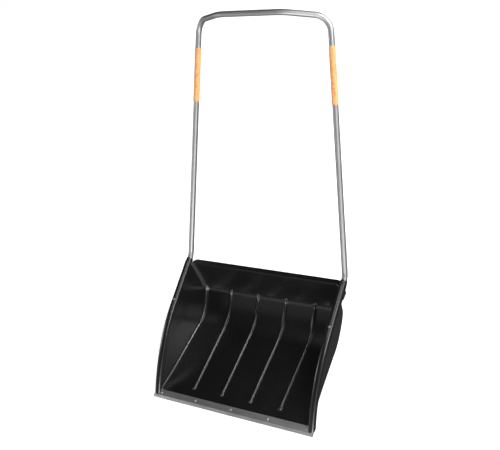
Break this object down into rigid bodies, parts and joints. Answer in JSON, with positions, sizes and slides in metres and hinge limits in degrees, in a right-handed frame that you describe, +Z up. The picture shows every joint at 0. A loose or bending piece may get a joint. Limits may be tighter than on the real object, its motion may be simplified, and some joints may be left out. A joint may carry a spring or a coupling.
{
  "type": "snow scoop",
  "caption": "Push snow scoop: a deep black moulded pan with floor ribs and a riveted metal edge, bolted to a bent U-shaped tube handle with orange hand grips.",
  "frame": {"origin": "on the pan's flat underside, mid-width and about mid-way along the flat floor, where the scoop rests on the ground", "axes": "+X across the pan to the user's right when pushing, +Y from the cutting edge back to the handle, +Z up from the ground"},
  "size_m": [0.7326, 1.1613, 1.0128],
  "materials": {
    "pan_plastic": "semi-matt black moulded polyethylene",
    "edge_metal": "dull galvanised sheet, brushed",
    "rivet_metal": "plain zinc rivet",
    "tube_metal": "satin silver tube",
    "grip_orange": "orange grip sleeve, slightly mottled",
    "collar_plastic": "black moulded collar",
    "bolt_metal": "bright zinc"
  },
  "bodies": {
    "root": {"pan": "pan_plastic", "cutting_edge": "edge_metal", "edge_rivet_1": "rivet_metal", "edge_rivet_2": "rivet_metal", "edge_rivet_3": "rivet_metal", "edge_rivet_4": "rivet_metal", "edge_rivet_5": "rivet_metal", "handle_tube": "tube_metal", "grip_left": "grip_orange", "grip_right": "grip_orange", "collar_left": "collar_plastic", "collar_right": "collar_plastic", "bolt_left": "bolt_metal", "bolt_right": "bolt_metal", "washer_top_left": "bolt_metal", "washer_top_right": "bolt_metal", "washer_foot_left": "bolt_metal", "washer_foot_right": "bolt_metal", "nut_left": "bolt_metal", "nut_right": "bolt_metal"}
  },
  "joints": []
}
